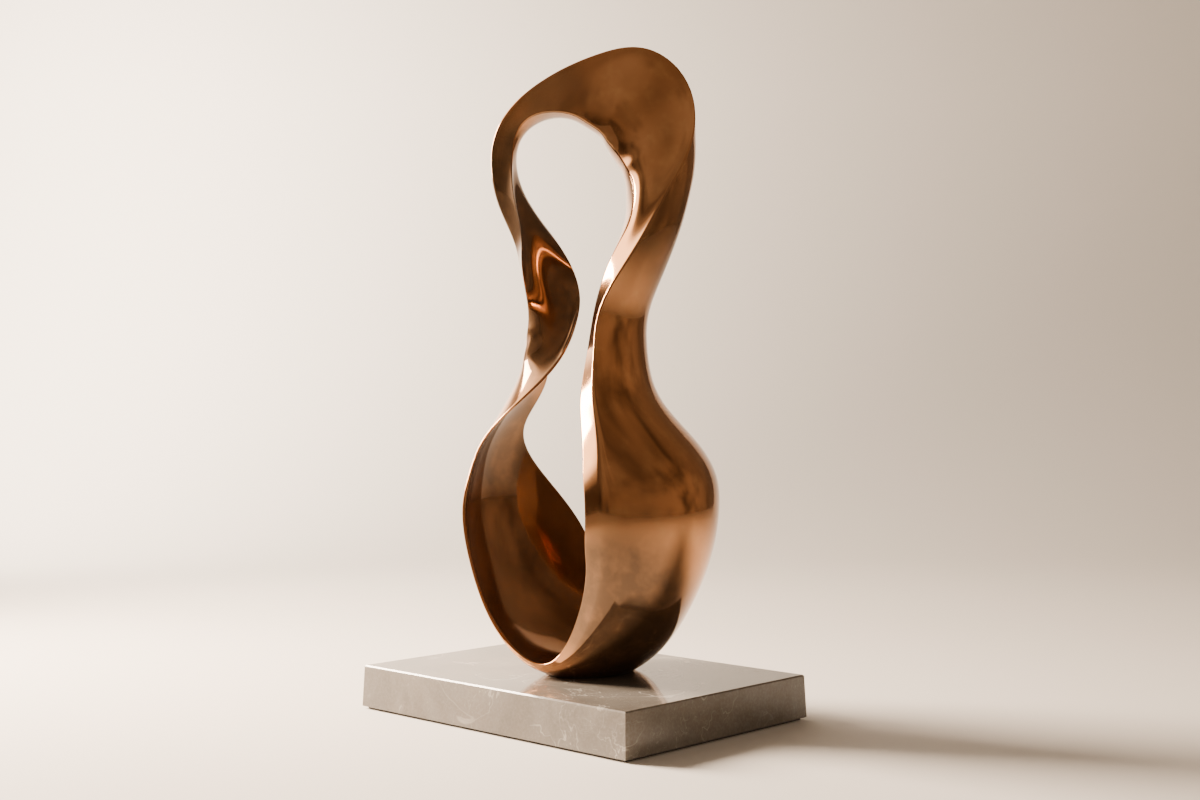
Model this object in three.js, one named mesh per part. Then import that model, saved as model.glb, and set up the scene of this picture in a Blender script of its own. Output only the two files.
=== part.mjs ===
// Looped sculpture: one twisted band of cast bronze, closed on itself, standing on a stone plinth.
// Millimetres, +Z up. The origin is the middle of the underside and +X runs along the stone's long side.
import * as THREE from "three";

// Stone plinth
const stoneLength = 326;
const stoneDepth = 236;
const stoneTop = 40;
const stoneFlare = 1.5;
const topArris = 1.2;
const footArris = 0.6;

// Felt under the stone
const padHeight = 1.8;
const padInset = 2.5;
const restGap = 0.3;

// Bronze band
const lipRound = 1.5;
const ringsPerRib = 4;
const stripSteps = 3;
const faceSteps = 9;
const roundSteps = 2;

// One rib of the band, a four-cornered section across it.
// at: middle of the line from the front ridge to the back lip
// turn: degrees by which that line is turned about the band, wide: its length
// slant: how far the section leans along the band, for each mm across it and for each mm through it
// front: run and rise from the front ridge to the strip's other edge, and the ridge's rounding
// back: the same at the back lip
// outer, inner: swell of the two long faces, and how far it leans to the far end of the face
// crown: swell and lean of the front strip, which lies between the ridge and the strip edge
function rib(at, turn, wide, slant, front, back, outer, inner, crown) {
  return { at, turn, wide, slant, front, back, outer, inner, crown, backCrown: [0, 0] };
}

// Ribs in order: up the left limb, over the head, down the right limb, round the bowl, up the left limb again.
// At the end the band has made half a turn, so the last rib meets the first one with its lips exchanged.
const ribs = [
  rib([-36, 4, 377], -54, 46, [-0.2, 0], [-1, 18, 1.5], [2, 3, 1.5], [3, 0], [-9, -2], [0, 0]),
  rib([-51, -4, 425], -10, 51, [-0.1, 0], [-6, 17, 1.5], [2, 3, 1.5], [8, 0], [-5, 6], [0, 0]),
  rib([-66, -24, 469], 8, 43, [-0.05, 0], [-2, 21, 1.5], [2, 3, 2], [9, 0], [1, 5], [-1, 0]),
  rib([-69, -31, 513], 14, 40, [0.2, 0.1], [3, 21, 1.5], [2, 3, 2.5], [6, 0], [3, 0], [-1, 0]),
  rib([-54, -22, 545], -1, 40, [0.1, 0.15], [7, 18, 1.5], [2, 3, 3], [5, 0], [4, 0], [-1, 0]),
  rib([-29, -4, 564], -26, 45, [-0.1, 0], [19, 31, 1.5], [2, 3, 3], [5, 0], [5, 0], [0, 0]),
  rib([0, 17, 572], -58, 61, [-0.3, 0], [53, 34, 1.5], [2, 3, 3], [6, 0], [6, 0], [2, 2]),
  rib([27, 38, 566], -88, 87, [-0.05, 0.05], [82, 38, 1.5], [2, 3, 3], [8, 0], [7, 0], [5, 5]),
  rib([47, 53, 541], -98, 86, [0.2, 0.15], [77, 40, 1.5], [2, 3, 3], [11, 0], [10, 0], [5, 6]),
  rib([57, 56, 507], -82, 72, [0.35, 0.3], [46, 42, 1.5], [2, 3, 3], [20, 0], [10, 0], [5, 5]),
  rib([59, 48, 471], -53, 68, [0.05, 0.3], [18, 31, 1.5], [2, 3, 3], [21, 0], [16, 0], [3, 2]),
  rib([58, 37, 439], -35, 77, [-0.2, 0.1], [12, 21, 1.5], [2, 3, 3], [20, 0], [17, 0], [1, 1]),
  rib([52, 24, 404], -24, 87, [-0.25, 0.1], [11, 18, 1.5], [2, 3, 3], [18, 0], [14, 0], [0, 0]),
  rib([42, 11, 365], -18, 94, [-0.2, 0.05], [14, 12, 1.5], [2, 3, 3], [18, 0], [8, 0], [0, 0]),
  rib([41, 7, 324], -17, 103, [-0.1, 0], [13, 14, 1.5], [2, 3, 3], [20, 0], [2, 0], [0, 0]),
  rib([50, 8, 280], -13, 120, [0, 0], [8, 20, 3], [2, 3, 3], [23, 0], [-3, 0], [0, 0]),
  rib([76, 13, 237], -1, 138, [0, -0.15], [-2, 22, 5], [2, 3, 3], [27, 0], [-7, 0], [0, 0]),
  rib([91, 12, 195], 2, 142, [-0.05, 0.15], [-6, 23, 9], [2, 3, 3], [34, 0], [-8, 0], [0, 0]),
  rib([84, 12, 141], -3, 137, [0, 0], [-4, 25, 14], [2, 3, 3], [34, 0], [-8, 0], [0, 0]),
  rib([58, 9, 89], -9, 131, [0.05, 0], [2, 22, 14], [2, 3, 3], [32, 0], [-8, 0], [0, 0]),
  rib([27, 8, 56], -5, 134, [0, 0], [-1, 10, 8], [2, 3, 3], [20, 0], [-8, 0], [0, 0]),
  rib([-8, 5, 61], -4, 144, [-0.05, 0], [0, 5, 4], [2, 3, 3], [22, 0], [-12, 0], [0, 0]),
  rib([-43, 3, 96], -2, 155, [-0.05, 0], [2, 2, 2], [2, 3, 3], [28, 0], [-20, 0], [0, 0]),
  rib([-67, 4, 144], -2, 156, [-0.1, 0], [2, 2, 2], [2, 3, 3], [34, 0], [-27, 0], [0, 0]),
  rib([-83, -5, 192], 2, 129, [-0.25, 0], [2, 2, 1.5], [1, 4, 3], [30, 0], [-25, 0], [0, 0]),
  rib([-86, -17, 236], 14, 90, [-0.15, 0], [1, 2, 1.5], [0, 7, 2], [9, 0], [-13, 0], [0, 0]),
  rib([-70, -14, 269], 20, 71, [0, 0], [1, 2, 1.5], [0, 11, 1.5], [9, 0], [-9, 0], [0, 0]),
  rib([-47, 2, 304], 36, 52, [-0.05, 0], [2, 2, 1.5], [-2, 17, 1.5], [15, -5], [-8, 0], [0, 0]),
  rib([-38, 8, 340], 82, 37, [-0.1, 0], [1, 3, 1.5], [-2, 21, 1.5], [5, -8], [-3, 0], [0, 0]),
];

// The same rib read from its other lip: half a turn further, fronts and faces exchanged
function turnedOver(r) {
  return {
    at: r.at, turn: r.turn + 180, wide: r.wide, slant: r.slant.map((lean) => -lean), front: r.back, back: r.front,
    outer: r.inner, inner: r.outer, crown: r.backCrown, backCrown: r.crown,
  };
}

function values(r) {
  return [r.at, r.turn, r.wide, r.slant, r.front, r.back, r.outer, r.inner, r.crown, r.backCrown].flat();
}

// Cubic spline through the ribs, round the band twice so that it closes. Its weights are found by relaxing.
const turnColumn = 3;
const stations = [...ribs, ...ribs.map(turnedOver)].map(values);
const stationCount = stations.length;

function wrapped(list, k) {
  const round = Math.floor(k / stationCount);
  const row = [...list[k - round * stationCount]];
  row[turnColumn] += 360 * round;
  return row;
}

let weights = stations;
for (let pass = 0; pass < 60; pass += 1) {
  const last = weights;
  weights = stations.map((row, k) => {
    const before = wrapped(last, k - 1);
    const after = wrapped(last, k + 1);
    return row.map((value, c) => 0.8 * (6 * value - before[c] - after[c]) / 4 + 0.2 * last[k][c]);
  });
}

// Values at a place along the band, and the direction in which the rib's middle is moving there
function along(place) {
  const k = Math.floor(place);
  const t = place - k;
  const share = [(1 - t) ** 3, 3 * t ** 3 - 6 * t * t + 4, -3 * t ** 3 + 3 * t * t + 3 * t + 1, t ** 3];
  const slope = [-((1 - t) ** 2), 3 * t * t - 4 * t, -3 * t * t + 2 * t + 1, t * t];
  const rows = [-1, 0, 1, 2].map((step) => wrapped(weights, k + step));
  const mix = (w, c) => rows.reduce((sum, row, j) => sum + w[j] * row[c], 0);
  const v = rows[0].map((_, c) => mix(share, c) / 6);
  const heading = new THREE.Vector3(mix(slope, 0), mix(slope, 1), mix(slope, 2)).normalize();
  return { v, heading };
}

// A side of the section from a to b, swelling outward as a parabola, leaning as a cubic
function side(a, b, swell, lean) {
  const dx = b[0] - a[0];
  const dy = b[1] - a[1];
  const length = Math.hypot(dx, dy);
  const out = [-dy / length, dx / length];
  const point = (s) => {
    const h = 4 * s * (1 - s);
    const lift = swell * h + 1.5 * lean * h * (2 * s - 1);
    return [a[0] + dx * s + out[0] * lift, a[1] + dy * s + out[1] * lift];
  };
  const direction = (s) => {
    const dh = 4 * (1 - 2 * s);
    const rise = swell * dh + 1.5 * lean * (dh * (2 * s - 1) + 8 * s * (1 - s));
    const d = [dx + out[0] * rise, dy + out[1] * rise];
    const size = Math.hypot(...d);
    return [d[0] / size, d[1] / size];
  };
  return { length, point, direction };
}

// Points round one section: four sides with rounded corners between them
function section(v) {
  const [, , , , wide, , , run, rise, soft, backRun, backRise, backSoft] = v;
  const [outer, outerLean, inner, innerLean, crown, crownLean, backCrown, backCrownLean] = v.slice(13);
  const ridge = [-wide / 2, 0];
  const stripEdge = [ridge[0] + run, rise];
  const lip = [wide / 2, 0];
  const lipEdge = [lip[0] - backRun, -backRise];
  const sides = [
    side(ridge, stripEdge, crown, crownLean), side(stripEdge, lip, inner, innerLean),
    side(lip, lipEdge, backCrown, backCrownLean), side(lipEdge, ridge, outer, outerLean),
  ];
  const softness = [soft, lipRound, backSoft, lipRound];
  const points = [];
  sides.forEach((here, k) => {
    const next = sides[(k + 1) % 4];
    const cut = (s, corner) => Math.min(softness[corner], 0.38 * s.length) / s.length;
    const start = cut(here, k);
    const end = 1 - cut(here, (k + 1) % 4);
    const nextStart = cut(next, (k + 1) % 4);
    const steps = k % 2 === 0 ? stripSteps : faceSteps;
    for (let i = 0; i <= steps; i += 1) {
      points.push(here.point(start + (end - start) * i / steps));
    }
    const from = here.point(end);
    const to = next.point(nextStart);
    const leave = here.direction(end);
    const arrive = next.direction(nextStart);
    const gap = Math.hypot(to[0] - from[0], to[1] - from[1]);
    const bend = Math.acos(Math.max(-1, Math.min(1, leave[0] * arrive[0] + leave[1] * arrive[1])));
    const arc = bend > 0.02 ? (2 / 3) * Math.tan(bend / 4) / Math.sin(bend / 2) : 1 / 3;
    const handle = gap * Math.min(0.9, arc);
    for (let i = 1; i <= roundSteps; i += 1) {
      const w = i / (roundSteps + 1);
      const u = 1 - w;
      points.push([0, 1].map((c) => u ** 3 * from[c] + 3 * w * u * u * (from[c] + leave[c] * handle)
        + 3 * w * w * u * (to[c] - arrive[c] * handle) + w ** 3 * to[c]));
    }
  });
  return points;
}

// A section set into space. No point goes below the flat on which the bronze stands.
const bronzeFoot = stoneTop + restGap;

function ring(place) {
  const { v, heading } = along(place);
  const level = new THREE.Vector3(0, 1, 0).addScaledVector(heading, -heading.y).normalize();
  const outward = new THREE.Vector3().crossVectors(heading, level);
  const turn = v[turnColumn] * Math.PI / 180;
  const across = level.clone().multiplyScalar(Math.cos(turn)).addScaledVector(outward, Math.sin(turn));
  const inward = level.clone().multiplyScalar(Math.sin(turn)).addScaledVector(outward, -Math.cos(turn));
  across.addScaledVector(heading, v[5]);
  inward.addScaledVector(heading, v[6]);
  return section(v).map(([p, q]) => {
    const point = new THREE.Vector3(v[0], v[1], v[2]).addScaledVector(across, p).addScaledVector(inward, q);
    point.z = Math.max(point.z, bronzeFoot);
    return point;
  });
}

function geometryFrom(points, triangles) {
  const geometry = new THREE.BufferGeometry();
  geometry.setAttribute("position", new THREE.Float32BufferAttribute(points.flatMap((p) => p.toArray()), 3));
  geometry.setIndex(triangles);
  geometry.computeVertexNormals();
  return geometry;
}

// Rings joined to a closed skin. The last ring meets the first one half way round.
function bandGeometry() {
  const ringCount = ribs.length * ringsPerRib;
  const rings = Array.from({ length: ringCount }, (_, i) => ring(i / ringsPerRib));
  const size = rings[0].length;
  const triangles = [];
  for (let i = 0; i < ringCount; i += 1) {
    const closing = i === ringCount - 1;
    const shift = closing ? size / 2 : 0;
    const nextRing = closing ? 0 : i + 1;
    for (let j = 0; j < size; j += 1) {
      const a = i * size + j;
      const b = i * size + (j + 1) % size;
      const c = nextRing * size + (j + shift) % size;
      const d = nextRing * size + (j + 1 + shift) % size;
      triangles.push(a, b, d, a, d, c);
    }
  }
  return geometryFrom(rings.flat(), triangles);
}

// A slab made of level rectangles, each one given by its height and how far it stands out or in
function slabGeometry(length, depth, levels) {
  const points = levels.flatMap(([z, out]) => [[-1, -1], [1, -1], [1, 1], [-1, 1]].map(([sx, sy]) => (
    new THREE.Vector3(sx * (length / 2 + out), sy * (depth / 2 + out), z))));
  const triangles = [0, 2, 1, 0, 3, 2];
  for (let k = 0; k < levels.length - 1; k += 1) {
    for (let j = 0; j < 4; j += 1) {
      const a = 4 * k + j;
      const b = 4 * k + (j + 1) % 4;
      triangles.push(a, b, b + 4, a, b + 4, a + 4);
    }
  }
  const top = 4 * (levels.length - 1);
  triangles.push(top, top + 1, top + 2, top, top + 2, top + 3);
  return geometryFrom(points, triangles);
}

const stoneFoot = padHeight + restGap;
const stoneGeometry = slabGeometry(stoneLength, stoneDepth, [
  [stoneFoot, stoneFlare - footArris],
  [stoneFoot + footArris, stoneFlare],
  [stoneTop - topArris, 0],
  [stoneTop, -topArris],
]);
const padGeometry = slabGeometry(stoneLength, stoneDepth, [[0, -padInset], [padHeight, -padInset]]);

// Pieces
const group = new THREE.Group();

function piece(name, geometry, color, roughness, metalness) {
  const mesh = new THREE.Mesh(geometry, new THREE.MeshStandardMaterial({ color, roughness, metalness }));
  mesh.name = name;
  group.add(mesh);
}

piece("bronze_band", bandGeometry(), 0x8f5227, 0.2, 1);
piece("stone_plinth", stoneGeometry, 0xb8ad9e, 0.35, 0);
piece("felt_pad", padGeometry, 0x2b2622, 0.95, 0);

export default group;
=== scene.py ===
# Looped bronze sculpture on its marble plinth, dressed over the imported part. Metres, +Z up.
import bpy
import math
import numpy as np
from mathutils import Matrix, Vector


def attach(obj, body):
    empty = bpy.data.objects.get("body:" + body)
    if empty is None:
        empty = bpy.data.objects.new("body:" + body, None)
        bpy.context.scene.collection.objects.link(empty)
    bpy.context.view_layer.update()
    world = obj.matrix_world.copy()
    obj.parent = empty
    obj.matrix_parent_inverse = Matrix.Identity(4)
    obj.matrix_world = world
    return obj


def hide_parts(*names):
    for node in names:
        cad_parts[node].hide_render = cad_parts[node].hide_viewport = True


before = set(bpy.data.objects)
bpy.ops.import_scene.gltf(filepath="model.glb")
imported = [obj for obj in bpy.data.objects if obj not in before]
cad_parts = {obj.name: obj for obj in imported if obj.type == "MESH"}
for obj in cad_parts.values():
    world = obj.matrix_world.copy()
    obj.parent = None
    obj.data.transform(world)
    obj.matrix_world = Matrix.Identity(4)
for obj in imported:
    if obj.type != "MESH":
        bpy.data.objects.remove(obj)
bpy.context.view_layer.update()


# Shader helpers

class Wire:
    # One output socket of a shader tree. Sums on it add Math nodes.
    def __init__(self, finish, socket):
        self.finish = finish
        self.socket = socket

    def maths(self, operation, *values, **settings):
        return self.finish.add("ShaderNodeMath", {"operation": operation, **settings}, dict(enumerate(values)))

    def __add__(self, other):
        return self.maths("ADD", self, other)

    def __radd__(self, other):
        return self.maths("ADD", other, self)

    def __sub__(self, other):
        return self.maths("SUBTRACT", self, other)

    def __rsub__(self, other):
        return self.maths("SUBTRACT", other, self)

    def __mul__(self, other):
        return self.maths("MULTIPLY", self, other)

    def __truediv__(self, other):
        return self.maths("DIVIDE", self, other)

    def size(self):
        return self.maths("ABSOLUTE", self)

    def held(self):
        # The value itself between 0 and 1, and the nearer of the two beyond them
        return self.maths("ADD", self, 0.0, use_clamp=True)


class Finish:
    # A node material, or the world, with its sockets reached through one method
    def __init__(self, name, owner=None):
        self.owner = owner or bpy.data.materials.new(name)
        self.owner.use_nodes = True
        self.tree = self.owner.node_tree
        self.tree.nodes.clear()

    def add(self, kind, settings=None, inputs=None, output=0):
        # A node with its settings, and a number or a wire on each input. One of its outputs comes back.
        node = self.tree.nodes.new(kind)
        for name, value in (settings or {}).items():
            setattr(node, name, value)
        for slot, value in (inputs or {}).items():
            if isinstance(value, Wire):
                self.tree.links.new(value.socket, node.inputs[slot])
            else:
                node.inputs[slot].default_value = value
        return Wire(self, node.outputs[output]) if len(node.outputs) else None

    def place(self, turn=(0, 0, 0)):
        where = self.add("ShaderNodeTexCoord", output="Object")
        return self.add("ShaderNodeMapping", {}, {"Vector": where, "Rotation": turn})

    def noise(self, where, scale, detail=3.0, roughness=0.5, distortion=0.0):
        return self.add("ShaderNodeTexNoise", {"noise_dimensions": "3D"}, {
            "Vector": where, "Scale": scale, "Detail": detail, "Roughness": roughness, "Distortion": distortion})

    def blend(self, share, first, second):
        # first * (1 - share) + second * share. Inputs 6 and 7 and output 2 are the Mix node's colours.
        return self.add("ShaderNodeMix", {"data_type": "RGBA"}, {0: share, 6: first, 7: second}, 2)

    def along(self, where, direction):
        # How far a place lies in a direction: x * x' + y * y' + z * z'
        return self.add("ShaderNodeVectorMath", {"operation": "DOT_PRODUCT"}, {0: where, 1: list(direction)}, "Value")

    def bump(self, height, strength, distance, under=None):
        # A relief of that height in metres, on top of another one if there is one under it
        inputs = {"Strength": strength, "Distance": distance, "Height": height}
        return self.add("ShaderNodeBump", {}, inputs if under is None else {**inputs, "Normal": under})

    def finishWith(self, inputs):
        shader = self.add("ShaderNodeBsdfPrincipled", {}, inputs)
        self.add("ShaderNodeOutputMaterial", {}, {"Surface": shader})
        return self.owner


def color(red, green, blue):
    # Red, green and blue with a full alpha, as a colour socket takes them
    return (red, green, blue, 1.0)


millimetre = 0.001

# Bronze band. Sizes in mm, angles in degrees.
bronze = {
    "ringCount": 420,
    "stripSteps": 29,           # steps across each narrow strip
    "faceSteps": 65,            # steps across each wide face
    "roundSteps": 8,            # points on each rounded corner
    "lipRound": 1.5,
    "cornerShare": 0.38,        # the most of a side that the rounding of one corner takes
    "smallestBend": 0.02,       # radians, keeps the handles of a flat corner finite
    "longestHandle": 0.9,       # of the gap that a rounded corner spans
    "relaxRounds": 60,
    "relaxShare": 0.8,          # how much of each correction is taken
    "foot": 40.3,               # flat on which the bronze stands
    "copper": color(0.64, 0.32, 0.15),
    "brown": color(0.52, 0.25, 0.11),
    "gold": color(0.70, 0.39, 0.18),
    # umber is the dark brown of the patina and of the painted shade
    "umber": color(0.11, 0.062, 0.032),
    "roughness": 0.10,
    "metalLoss": 0.2,           # how much less metallic the darkest places are
    "driftScale": 14.0,         # noise scales, per metre
    "cloudScale": 60.0,
    "fineScale": 900.0,
    "waveScale": 22.0,
    "waveHeight": 0.0006,
    "fineHeight": 0.00005,
    "fullNear": 0.4,            # share of its reach within which a dark place is at full depth
    "facingGain": 1.5,          # how fast a dark place fills in as the skin turns to face its way
}

# Patina and painted shade: the spots darken the bronze's colour for patina in the bowl's hollow, and as painted shade
# and painted reflection where the polish mirrors a dark room and under the belly.
# Darker places, set from the photo: place in mm, reach in mm, the way the skin faces there, depth.
# A facing of None means towards the place itself, as inside a bowl.
paintedShadeAndPatinaSpots = [
    ((0, 0, 180), 190, None, 0.42),                 # inside the bowl
    ((-96, 0, 245), 80, (0.9, 0, -0.4), 1),         # the bowl's wall, high on the left
    ((-85, 55, 150), 95, (0.84, -0.5, 0.2), 0.7),   # the bowl's wall, far on the left
    ((60, 15, 190), 130, (-1, 0, 0), 0.95),         # the belly's inner face
    ((-38, 0, 345), 85, (0.6, -0.8, 0.1), 0.9),     # the left limb's broad face
    ((-45, 8, 425), 70, (0.9, -0.2, 0.35), 0.85),   # the same face higher up
    ((-54, -20, 455), 60, (0.97, 0.1, 0.15), 0.8),  # and beside the head's ring
    ((-52, -32, 440), 90, (-0.25, -0.9, -0.3), 1),  # the left limb's front strip
    ((-52, -42, 490), 65, (0.1, -0.98, 0), 0.8),    # the same strip further up
    ((38, 17, 490), 65, (-0.95, -0.25, -0.2), 0.7),  # the wall on the right of the ring's hole
    ((-5, 0, 538), 65, (-0.3, -0.2, -0.93), 0.8),   # the same wall at its top
    ((-15, -18, 562), 45, (0.5, -0.85, 0.1), 0.5),  # the front of the head, over the hole
    ((85, -15, 75), 85, (0.6, -0.5, -0.6), 0.9),    # under the belly
    ((80, -30, 130), 80, (0.85, -0.4, -0.2), 0.85),  # low on the belly's front
    ((72, -55, 115), 75, (0.15, -0.98, -0.1), 0.8),  # the front strip under the belly
    ((85, 30, 430), 75, (0.9, 0.2, -0.2), 0.6),     # outside of the right shoulder
]

turnColumn, widthColumn = 3, 4   # places of the values in a row of bronzeRibs
leanColumns = [5, 6]
frontColumns, backColumns = [7, 8, 9], [10, 11, 12]
outerColumns, innerColumns = [13, 14], [15, 16]
crownColumns, backCrownColumns = [17, 18], [19, 20]

# Each rib is a four-cornered section across the band, in the order of travel: up the left limb, over the head,
# down the right limb, round the bowl and up the left limb again.
# middle x, y, z; turn; width; lean across and lean through | front run, rise, rounding | back run, rise, rounding
# | outer swell, lean | inner swell, lean | crown of the front strip, lean
bronzeRibs = [
    (-36, 4, 377, -54, 46, -0.2, 0, -1, 18, 1.5, 2, 3, 1.5, 3, 0, -9, -2, 0, 0),
    (-51, -4, 425, -10, 51, -0.1, 0, -6, 17, 1.5, 2, 3, 1.5, 8, 0, -5, 6, 0, 0),
    (-66, -24, 469, 8, 43, -0.05, 0, -2, 21, 1.5, 2, 3, 2, 9, 0, 1, 5, -1, 0),
    (-69, -31, 513, 14, 40, 0.2, 0.1, 3, 21, 1.5, 2, 3, 2.5, 6, 0, 3, 0, -1, 0),
    (-54, -22, 545, -1, 40, 0.1, 0.15, 7, 18, 1.5, 2, 3, 3, 5, 0, 4, 0, -1, 0),
    (-29, -4, 564, -26, 45, -0.1, 0, 19, 31, 1.5, 2, 3, 3, 5, 0, 5, 0, 0, 0),
    (0, 17, 572, -58, 61, -0.3, 0, 53, 34, 1.5, 2, 3, 3, 6, 0, 6, 0, 2, 2),
    (27, 38, 566, -88, 87, -0.05, 0.05, 82, 38, 1.5, 2, 3, 3, 8, 0, 7, 0, 5, 5),
    (47, 53, 541, -98, 86, 0.2, 0.15, 77, 40, 1.5, 2, 3, 3, 11, 0, 10, 0, 5, 6),
    (57, 56, 507, -82, 72, 0.35, 0.3, 46, 42, 1.5, 2, 3, 3, 20, 0, 10, 0, 5, 5),
    (59, 48, 471, -53, 68, 0.05, 0.3, 18, 31, 1.5, 2, 3, 3, 21, 0, 16, 0, 3, 2),
    (58, 37, 439, -35, 77, -0.2, 0.1, 12, 21, 1.5, 2, 3, 3, 20, 0, 17, 0, 1, 1),
    (52, 24, 404, -24, 87, -0.25, 0.1, 11, 18, 1.5, 2, 3, 3, 18, 0, 14, 0, 0, 0),
    (42, 11, 365, -18, 94, -0.2, 0.05, 14, 12, 1.5, 2, 3, 3, 18, 0, 8, 0, 0, 0),
    (41, 7, 324, -17, 103, -0.1, 0, 13, 14, 1.5, 2, 3, 3, 20, 0, 2, 0, 0, 0),
    (50, 8, 280, -13, 120, 0, 0, 8, 20, 3, 2, 3, 3, 23, 0, -3, 0, 0, 0),
    (76, 13, 237, -1, 138, 0, -0.15, -2, 22, 5, 2, 3, 3, 27, 0, -7, 0, 0, 0),
    (91, 12, 195, 2, 142, -0.05, 0.15, -6, 23, 9, 2, 3, 3, 34, 0, -8, 0, 0, 0),
    (84, 12, 141, -3, 137, 0, 0, -4, 25, 14, 2, 3, 3, 34, 0, -8, 0, 0, 0),
    (58, 9, 89, -9, 131, 0.05, 0, 2, 22, 14, 2, 3, 3, 32, 0, -8, 0, 0, 0),
    (27, 8, 56, -5, 134, 0, 0, -1, 10, 8, 2, 3, 3, 20, 0, -8, 0, 0, 0),
    (-8, 5, 61, -4, 144, -0.05, 0, 0, 5, 4, 2, 3, 3, 22, 0, -12, 0, 0, 0),
    (-43, 3, 96, -2, 155, -0.05, 0, 2, 2, 2, 2, 3, 3, 28, 0, -20, 0, 0, 0),
    (-67, 4, 144, -2, 156, -0.1, 0, 2, 2, 2, 2, 3, 3, 34, 0, -27, 0, 0, 0),
    (-83, -5, 192, 2, 129, -0.25, 0, 2, 2, 1.5, 1, 4, 3, 30, 0, -25, 0, 0, 0),
    (-86, -17, 236, 14, 90, -0.15, 0, 1, 2, 1.5, 0, 7, 2, 9, 0, -13, 0, 0, 0),
    (-70, -14, 269, 20, 71, 0, 0, 1, 2, 1.5, 0, 11, 1.5, 9, 0, -9, 0, 0, 0),
    (-47, 2, 304, 36, 52, -0.05, 0, 2, 2, 1.5, -2, 17, 1.5, 15, -5, -8, 0, 0, 0),
    (-38, 8, 340, 82, 37, -0.1, 0, 1, 3, 1.5, -2, 21, 1.5, 5, -8, -3, 0, 0, 0),
]


def turnedOver(rows):
    # The same ribs read from the other lip: half a turn further, fronts and faces exchanged, leans reversed
    kept = list(range(frontColumns[0]))
    other = rows[:, kept + backColumns + frontColumns + innerColumns + outerColumns + backCrownColumns + crownColumns]
    other[:, turnColumn] += 180
    other[:, leanColumns] *= -1
    return other


def bandWeights(rows):
    # Spline weights for both rounds of the band, relaxed until (before + 4 own + after) / 6 is the rib itself: each
    # round takes a share of (6 rib - before - after) / 4. The turn goes on by 360 degrees from the end to the start.
    both = np.concatenate([rows, turnedOver(rows)])
    weights = both.copy()
    share = bronze["relaxShare"]
    for step in range(bronze["relaxRounds"]):
        before = np.roll(weights, 1, axis=0)
        after = np.roll(weights, -1, axis=0)
        before[0, turnColumn] -= 360
        after[-1, turnColumn] += 360
        weights = share * (6 * both - before - after) / 4 + (1 - share) * weights
    return weights


def alongBand(weights, places):
    # Cubic spline: each value is the sum of four neighbouring weights times the cubic shares of the place between
    # them, and the heading is the same sum with the shares' slopes
    count = len(weights)
    whole = np.floor(places).astype(int)
    t = (places - whole)[:, None]
    shares = [(1 - t) ** 3, 3 * t**3 - 6 * t**2 + 4, -3 * t**3 + 3 * t**2 + 3 * t + 1, t**3]
    slopes = [-((1 - t) ** 2), 3 * t**2 - 4 * t, -3 * t**2 + 2 * t + 1, t**2]
    near = []
    for step in (-1, 0, 1, 2):
        rows = weights[(whole + step) % count].copy()
        rows[:, turnColumn] += 360.0 * ((whole + step) // count)
        near.append(rows)
    values = sum(share * rows for share, rows in zip(shares, near)) / 6
    heading = sum(slope * rows[:, :3] for slope, rows in zip(slopes, near))
    return values, heading / np.linalg.norm(heading, axis=1, keepdims=True)


def lengthAndNormal(a, b):
    # b - a, and that vector turned by a right angle and made one unit long
    along = b - a
    return along, np.stack([-along[:, 1], along[:, 0]], 1) / np.linalg.norm(along, axis=1, keepdims=True)


def sidePoints(a, b, swell, lean, s):
    # The straight line from a to b, lifted outward by swell * h + 1.5 * lean * h * (2s - 1), with h = 4s(1 - s)
    along, out = lengthAndNormal(a, b)
    h = 4 * s * (1 - s)
    lift = swell[:, None] * h + 1.5 * lean[:, None] * h * (2 * s - 1)
    return a[:, None] + along[:, None] * s[..., None] + out[:, None] * lift[..., None]


def sideDirection(a, b, swell, lean, s):
    # The derivative of the line above by s, made one unit long
    along, out = lengthAndNormal(a, b)
    dh = 4 * (1 - 2 * s)
    rise = swell * dh + 1.5 * lean * (dh * (2 * s - 1) + 8 * s * (1 - s))
    direction = along + out * rise[:, None]
    return direction / np.linalg.norm(direction, axis=1, keepdims=True)


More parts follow.
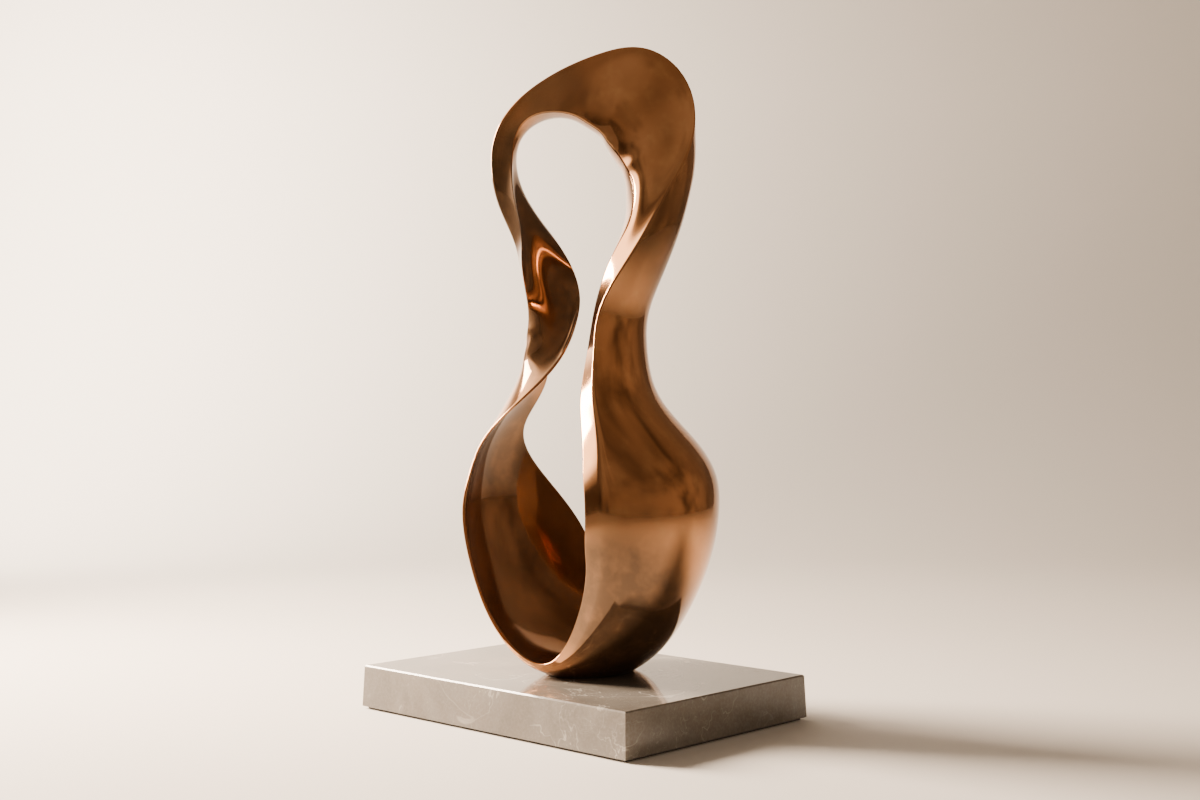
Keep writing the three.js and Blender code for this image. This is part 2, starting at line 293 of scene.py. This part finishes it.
def sectionPoints(v):
    # Four swelling sides between the corners. Each corner is a cubic Bezier curve that leaves one side and meets the
    # next along their own directions, with the handles of a circle's arc.
    wide = v[:, widthColumn]
    run, rise, soft = v[:, frontColumns].T
    backRun, backRise, backSoft = v[:, backColumns].T
    outer, outerLean = v[:, outerColumns].T
    inner, innerLean = v[:, innerColumns].T
    crown, crownLean = v[:, crownColumns].T
    backCrown, backCrownLean = v[:, backCrownColumns].T
    none = np.zeros(len(v))
    ridge = np.stack([-wide / 2, none], 1)
    stripEdge = ridge + np.stack([run, rise], 1)
    lip = np.stack([wide / 2, none], 1)
    lipEdge = lip - np.stack([backRun, backRise], 1)
    corners = [ridge, stripEdge, lip, lipEdge]
    swells = [crown, inner, backCrown, outer]
    leans = [crownLean, innerLean, backCrownLean, outerLean]
    rounding = [soft, none + bronze["lipRound"], backSoft, none + bronze["lipRound"]]
    lengths = [np.linalg.norm(corners[(k + 1) % 4] - corners[k], axis=1) for k in range(4)]
    mostRound = [bronze["cornerShare"] * length for length in lengths]
    starts = [np.minimum(rounding[k], mostRound[k]) / lengths[k] for k in range(4)]
    ends = [1 - np.minimum(rounding[(k + 1) % 4], mostRound[k]) / lengths[k] for k in range(4)]
    parts = []
    for k in range(4):
        n = (k + 1) % 4
        here = (corners[k], corners[n], swells[k], leans[k])
        following = (corners[n], corners[(n + 1) % 4], swells[n], leans[n])
        steps = bronze["stripSteps"] if k % 2 == 0 else bronze["faceSteps"]
        share = np.linspace(0, 1, steps + 1)[None]
        side = sidePoints(*here, starts[k][:, None] + (ends[k] - starts[k])[:, None] * share)
        start = side[:, -1]
        finish = sidePoints(*following, starts[n][:, None])[:, 0]
        leave = sideDirection(*here, ends[k])
        arrive = sideDirection(*following, starts[n])
        bend = np.maximum(np.arccos(np.clip((leave * arrive).sum(1), -1, 1)), bronze["smallestBend"])
        gap = np.linalg.norm(finish - start, axis=1)
        reach = np.minimum(bronze["longestHandle"], (2 / 3) * np.tan(bend / 4) / np.sin(bend / 2))
        handle = (gap * reach)[:, None]
        w = (np.arange(1, bronze["roundSteps"] + 1) / (bronze["roundSteps"] + 1))[None, :, None]
        arc = ((1 - w) ** 3 * start[:, None] + 3 * w * (1 - w) ** 2 * (start + leave * handle)[:, None]
               + 3 * w**2 * (1 - w) * (finish - arrive * handle)[:, None] + w**3 * finish[:, None])
        parts += [side, arc]
    return np.concatenate(parts, axis=1)


def bandGrid():
    # Each section point (p, q) is the rib's middle + p * across + q * inward. Across and inward are the level
    # direction and its normal turned by the rib's angle, and both lean along the band. Nothing is below the foot.
    rows = np.pad(np.array(bronzeRibs, float), ((0, 0), (0, 2)))  # the back strip has no crown
    places = np.arange(bronze["ringCount"]) / bronze["ringCount"] * len(rows)
    v, heading = alongBand(bandWeights(rows), places)
    level = np.array([0.0, 1.0, 0.0]) - heading * heading[:, 1:2]
    level /= np.linalg.norm(level, axis=1, keepdims=True)
    outward = np.cross(heading, level)
    turn = np.radians(v[:, [turnColumn]])
    leanAcross, leanThrough = (v[:, [column]] for column in leanColumns)
    across = np.cos(turn) * level + np.sin(turn) * outward + leanAcross * heading
    inward = np.sin(turn) * level - np.cos(turn) * outward + leanThrough * heading
    section = sectionPoints(v)
    points = v[:, None, :3] + section[..., :1] * across[:, None] + section[..., 1:] * inward[:, None]
    points[..., 2] = np.maximum(points[..., 2], bronze["foot"])
    return points * millimetre


def bandFaces(rings, size):
    # Quads between neighbouring rings. The last ring meets the first one half way round, which closes the band.
    ring, point = np.meshgrid(np.arange(rings), np.arange(size), indexing="ij")
    shift = np.where(ring == rings - 1, size // 2, 0)
    nextRing = (ring + 1) % rings
    a = ring * size + point
    b = ring * size + (point + 1) % size
    c = nextRing * size + (point + 1 + shift) % size
    d = nextRing * size + (point + shift) % size
    return np.stack([a, b, c, d], -1).reshape(-1, 4)


def addPiece(name, points, faces):
    # A smooth-shaded mesh object from a grid of points and the quads between them
    mesh = bpy.data.meshes.new(name)
    mesh.from_pydata(points.reshape(-1, 3).tolist(), [], faces.tolist())
    mesh.update()
    mesh.shade_smooth()
    piece = bpy.data.objects.new(name, mesh)
    bpy.context.scene.collection.objects.link(piece)
    return piece


def eased(x):
    # 3 x^2 - 2 x^3, with x held between 0 and 1
    x = np.clip(x, 0, 1)
    return x**2 * (3 - 2 * x)


def vertexValues(piece, name):
    # One row of three numbers for each vertex
    values = np.empty(len(piece.data.vertices) * 3)
    piece.data.vertices.foreach_get(name, values)
    return values.reshape(-1, 3)


def addPaintedShadeAndPatina(piece):
    # Patina and painted shade at each vertex: for each spot, depth * nearness * facing. Nearness falls smoothly from
    # 1 at 40% of the reach to 0 at the reach, facing rises smoothly from 0 edge-on to 1 at 48 degrees from face-on.
    # Spots add up as 1 - (1 - a)(1 - b)...
    points = vertexValues(piece, "co") / millimetre
    normals = vertexValues(piece, "normal")
    clear = np.ones(len(points))
    for place, reach, facing, depth in paintedShadeAndPatinaSpots:
        offset = np.array(place, float) - points
        distance = np.linalg.norm(offset, axis=1)
        if facing is None:
            way = offset / np.maximum(distance, 1.0)[:, None]
        else:
            way = np.array(facing) / math.hypot(*facing)
        nearness = eased((1 - distance / reach) / (1 - bronze["fullNear"]))
        clear *= 1 - depth * nearness * eased((normals * way).sum(1) * bronze["facingGain"])
    piece.data.attributes.new("patinaWithPaintedShade", "FLOAT", "POINT").data.foreach_set("value", 1 - clear)


grid = bandGrid()
bronzeSkin = addPiece("polished_band", grid, bandFaces(*grid.shape[:2]))
addPaintedShadeAndPatina(bronzeSkin)
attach(bronzeSkin, "root")
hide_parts("bronze_band")
print("bronze band made", len(bronzeSkin.data.polygons), "faces")


def bronzeFinish():
    # Brown to copper by a slow noise, touched with gold by a cloudy one, then towards umber by the patina and painted
    # shade. The same clouds and a fine noise haze the polish, over long shallow waves in the surface.
    finish = Finish("polished bronze")
    where = finish.place()
    drift = finish.noise(where, bronze["driftScale"], 3.0, 0.55)
    cloud = finish.noise(where, bronze["cloudScale"], 4.0, 0.6)
    fine = finish.noise(where, bronze["fineScale"], 3.0, 0.6)
    wave = finish.noise(where, bronze["waveScale"], 1.0, 0.4)
    tone = finish.blend(((drift - 0.35) * 2.4).held(), bronze["brown"], bronze["copper"])
    tone = finish.blend(((cloud - 0.5) * 2.0).held(), tone, bronze["gold"])
    # The patina and painted shade of the spots, read back from the vertices: it darkens the colour and lowers the
    # metal
    patinaWithPaintedShade = finish.add("ShaderNodeAttribute", {"attribute_name": "patinaWithPaintedShade"}, {}, "Fac")
    tone = finish.blend((patinaWithPaintedShade * (0.7 + cloud * 0.6)).held(), tone, bronze["umber"])
    roughness = bronze["roughness"] + (cloud - 0.5) * 0.06 + (fine - 0.5) * 0.05
    relief = finish.bump(wave, 0.25, bronze["waveHeight"])
    relief = finish.bump(fine, 0.05, bronze["fineHeight"], relief)
    return finish.finishWith({
        "Base Color": tone, "Metallic": 1.0 - patinaWithPaintedShade * bronze["metalLoss"], "Roughness": roughness.held(),
        "Normal": relief, "Coat Weight": 0.12, "Coat Roughness": 0.06})


bronzeSkin.data.materials.append(bronzeFinish())

# Marble plinth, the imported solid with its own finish
marble = {
    "pale": color(0.19, 0.172, 0.15),
    "dark": color(0.115, 0.10, 0.083),
    "warm": color(0.165, 0.135, 0.105),
    "vein": color(0.44, 0.41, 0.36),
    "veinWidth": 0.008,         # in values of the noise, either side of its middle
    "thinnerVein": 0.6,         # width of the short veins next to the long ones
    "roughness": 0.07,
    "turn": (0.3, 0.2, 0.6),    # radians, so that the veins don't run square to the slab
    "cloudScale": 11.0,         # noise scales, per metre
    "warmthScale": 23.0,
    "grainScale": 420.0,
    "longVeinScale": 9.0,
    "shortVeinScale": 31.0,
    "grainHeight": 0.0001,
}


def marbleFinish():
    # Beige-grey clouds, small grains, and pale veins of strength 1 - |noise - 0.5| / width, so thin lines where a
    # noise passes its middle value. They come and go with the clouds.
    finish = Finish("polished marble")
    where = finish.place(marble["turn"])
    cloud = finish.noise(where, marble["cloudScale"], 5.0, 0.6, 0.6)
    warmth = finish.noise(where, marble["warmthScale"], 3.0, 0.5, 0.3)
    grain = finish.noise(where, marble["grainScale"], 2.0, 0.6)
    longVein = finish.noise(where, marble["longVeinScale"], 4.0, 0.55, 1.2)
    shortVein = finish.noise(where, marble["shortVeinScale"], 3.0, 0.6, 1.6)
    base = finish.blend(((cloud - 0.35) * 3.0).held(), marble["dark"], marble["pale"])
    base = finish.blend(((warmth - 0.5) * 1.6).held(), base, marble["warm"])
    base = finish.blend((grain - 0.42).held() * 0.3, base, marble["vein"])
    thin = (1.0 - (longVein - 0.5).size() / marble["veinWidth"]).held()
    thinner = (1.0 - (shortVein - 0.5).size() / (marble["thinnerVein"] * marble["veinWidth"])).held()
    strength = ((cloud - 0.38) * 5.0).held()
    base = finish.blend((thin * 0.8 + thinner * 0.5).held() * strength, base, marble["vein"])
    roughness = marble["roughness"] + (grain - 0.5) * 0.1 - thin * 0.03
    return finish.finishWith({
        "Base Color": base, "Roughness": roughness.held(), "Normal": finish.bump(grain, 0.06, marble["grainHeight"]),
        "Specular IOR Level": 0.4, "Coat Weight": 0.15, "Coat Roughness": 0.03})


# Felt under the stone
felt = {
    "dark": color(0.045, 0.038, 0.032),
    "light": color(0.12, 0.105, 0.09),
    "fibreScale": 900.0,        # noise scales, per metre
    "patchScale": 60.0,
    "fibreHeight": 0.0004,
}


def feltFinish():
    # Matted fibres: the colour goes from dark to light by 0.8 fibre noise + 0.4 patch noise - 0.2
    finish = Finish("dark felt")
    where = finish.place()
    fibre = finish.noise(where, felt["fibreScale"], 4.0, 0.7, 1.0)
    patch = finish.noise(where, felt["patchScale"], 3.0, 0.5)
    base = finish.blend((fibre * 0.8 + patch * 0.4 - 0.2).held(), felt["dark"], felt["light"])
    return finish.finishWith({
        "Base Color": base, "Roughness": (0.85 + fibre * 0.15).held(),
        "Normal": finish.bump(fibre, 0.6, felt["fibreHeight"]), "Sheen Weight": 0.25, "Sheen Roughness": 0.6})


for node, material in (("stone_plinth", marbleFinish()), ("felt_pad", feltFinish())):
    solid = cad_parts[node]
    solid.data.materials.clear()
    solid.data.materials.append(material)
print("finishes made")

# Studio: a plain pale floor, a paper sweep behind, and a soft key from behind on the left. Metres.
studio = {
    "azimuth": 43.38,           # the camera's bearing round the object, from -Y towards +X
    "cameraAt": (1.0093, -1.0424, 0.2845),
    "lens": 48.0,               # mm, on a sensor of this width
    "sensorWidth": 36.0,
    "paper": color(0.72, 0.68, 0.63),
    "palerPaper": color(0.75, 0.72, 0.67),
    "paperScale": 3.0,
    "floorHalf": 5.0,
    "sheetPoints": 9,           # points along each straight side of a sheet
    "sweepSteps": 64,           # steps round the sweep's quarter circle
    "sweepStart": 1.3,          # how far behind the object the paper begins to rise
    "sweepRadius": 1.0,
    "wallHeight": 3.0,
    "sweepLeft": -4.0,
    "sweepRight": 1.6,          # just past the picture's right edge
}
bearing = math.radians(studio["azimuth"])
towards = np.array([math.sin(bearing), -math.cos(bearing), 0.0])
sideways = np.array([math.cos(bearing), math.sin(bearing), 0.0])


def sweepGrid():
    # A profile carried sideways: a quarter circle up from the floor, then an upright wall
    radius = studio["sweepRadius"]
    angle = np.linspace(0, math.pi / 2, studio["sweepSteps"] + 1)
    back = studio["sweepStart"] + radius * np.append(np.sin(angle), 1.0)
    height = np.append(radius * (1 - np.cos(angle)), studio["wallHeight"])
    across = np.linspace(studio["sweepLeft"], studio["sweepRight"], studio["sheetPoints"])
    return (-towards * back[:, None, None] + sideways * across[None, :, None]
            + np.array([0.0, 0.0, 1.0]) * height[:, None, None])


def floorGrid():
    # A level square at height 0
    side = np.linspace(-studio["floorHalf"], studio["floorHalf"], studio["sheetPoints"])
    x, y = np.meshgrid(side, side, indexing="ij")
    return np.stack([x, y, 0 * x], -1)


def sheetFaces(rows, columns):
    # Quads of an open grid, facing up
    i, j = np.meshgrid(np.arange(rows - 1), np.arange(columns - 1), indexing="ij")
    a = i * columns + j
    return np.stack([a, a + 1, a + columns + 1, a + columns], -1).reshape(-1, 4)


def paperFinish():
    # Plain pale paper, whose colour drifts by 0.3 of a soft noise towards a slightly paler one
    finish = Finish("studio paper")
    where = finish.place()
    tone = finish.noise(where, studio["paperScale"], 2.0)
    base = finish.blend((tone * 0.3).held(), studio["paper"], studio["palerPaper"])
    return finish.finishWith({"Base Color": base, "Roughness": 0.7})


paper = paperFinish()
for name, grid in (("studio_floor", floorGrid()), ("studio_sweep", sweepGrid())):
    sheet = addPiece(name, grid, sheetFaces(*grid.shape[:2]))
    sheet.data.materials.append(paper)


def fromMiddle(right, up, near):
    # A place or direction from the middle of the underside: to the camera's right, up, and towards the camera
    return sideways * right + towards * near + np.array([0.0, 0.0, up])


def addLight(name, offset, target, size, power, tint, spread):
    # A softbox at an offset, turned to face its target, both given as right, up and near. Its light leaves within
    # the spread, in degrees. Sizes in metres, power in watts.
    spot = fromMiddle(*offset)
    lamp = bpy.data.lights.new(name, "AREA")
    lamp.shape = "RECTANGLE"
    lamp.size, lamp.size_y = size
    lamp.energy = power
    lamp.color = tint
    lamp.spread = math.radians(spread)
    light = bpy.data.objects.new(name, lamp)
    light.location = spot
    light.rotation_euler = Vector(fromMiddle(*target) - spot).to_track_quat("-Z", "Y").to_euler()
    bpy.context.scene.collection.objects.link(light)


wallSpot = (-0.9, 0.6, -studio["sweepStart"] - studio["sweepRadius"])
addLight("key_softbox", (-1.30, 0.85, -0.5), (0, 0.2, 0), (0.6, 0.8), 92.0, (1.0, 0.80, 0.62), 110)
addLight("backdrop_light", (-1.4, 1.0, -0.9), wallSpot, (0.8, 0.8), 115.0, (1.0, 0.84, 0.69), 150)

# Surroundings. Mirrored rays meet dim patches with soft sources laid over them in order, matt surfaces get one
# tone from every source, and the camera sees a plain pale tone beyond the paper.
surround = {
    "seen": color(0.80, 0.75, 0.69),
    "dark": color(0.07, 0.045, 0.027),
    "dim": color(0.20, 0.135, 0.085),
    "fill": color(0.58, 0.46, 0.35),
    "patchScale": 1.6,
    "shadeScale": 3.2,
    "brightFrom": 1.0,          # sources with a value above this are even, dimmer ones are broken up into patches
}
# Direction as right, up and near; cosines at which a source fades in and is full; colour
glows = [
    ((0.0, 0.22, 0.95), 0.6, 1.0, color(0.33, 0.225, 0.14)),       # dim, in front
    ((0.96, 0.19, 0.20), 0.6, 0.95, color(0.42, 0.28, 0.17)),      # dim, on the right
    ((-0.43, 0.80, 0.42), 0.67, 1.0, color(0.45, 0.34, 0.24)),     # dim, above
    ((-0.70, 0.28, -0.66), 0.5, 0.85, color(3.6, 2.8, 2.1)),       # bright and broad, behind on the left
    ((-0.88, 0.43, -0.20), 0.89, 0.94, color(8.0, 6.4, 4.9)),      # the key softbox's face
]
world = bpy.data.worlds.new("studio surroundings")
bpy.context.scene.world = world
air = Finish("", world)
lookDirection = air.add("ShaderNodeTexCoord", output="Generated")
patches = air.noise(lookDirection, surround["patchScale"], 2.0, 0.5)
mirrored = air.blend(((patches - 0.36) * 4.0).held(), surround["dark"], surround["dim"])
shades = air.noise(lookDirection, surround["shadeScale"], 2.0, 0.55)
matt = mirrored
for direction, faint, full, tint in glows:
    facing = air.along(lookDirection, fromMiddle(*direction))
    share = ((facing - faint) / (full - faint)).held()
    if max(tint) <= surround["brightFrom"]:
        share = share * (shades * 3.0 - 0.75).held()
    mirrored = air.blend(share, mirrored, tint)
    matt = air.blend(share, matt, surround["fill"])
isMirrored = air.add("ShaderNodeLightPath", output="Is Glossy Ray")
glow = air.blend(isMirrored, matt, mirrored)
isSeen = air.add("ShaderNodeLightPath", output="Is Camera Ray")
airColor = air.blend(isSeen, glow, surround["seen"])
skin = air.add("ShaderNodeBackground", {}, {"Color": airColor, "Strength": 1.0})
air.add("ShaderNodeOutputWorld", {}, {"Surface": skin})

cameraData = bpy.data.cameras.new("camera")
cameraData.lens = studio["lens"]
cameraData.sensor_width = studio["sensorWidth"]
camera = bpy.data.objects.new("camera", cameraData)
camera.location = studio["cameraAt"]
camera.rotation_euler = (math.pi / 2, 0.0, bearing)
bpy.context.scene.collection.objects.link(camera)
bpy.context.scene.camera = camera
print("studio made")
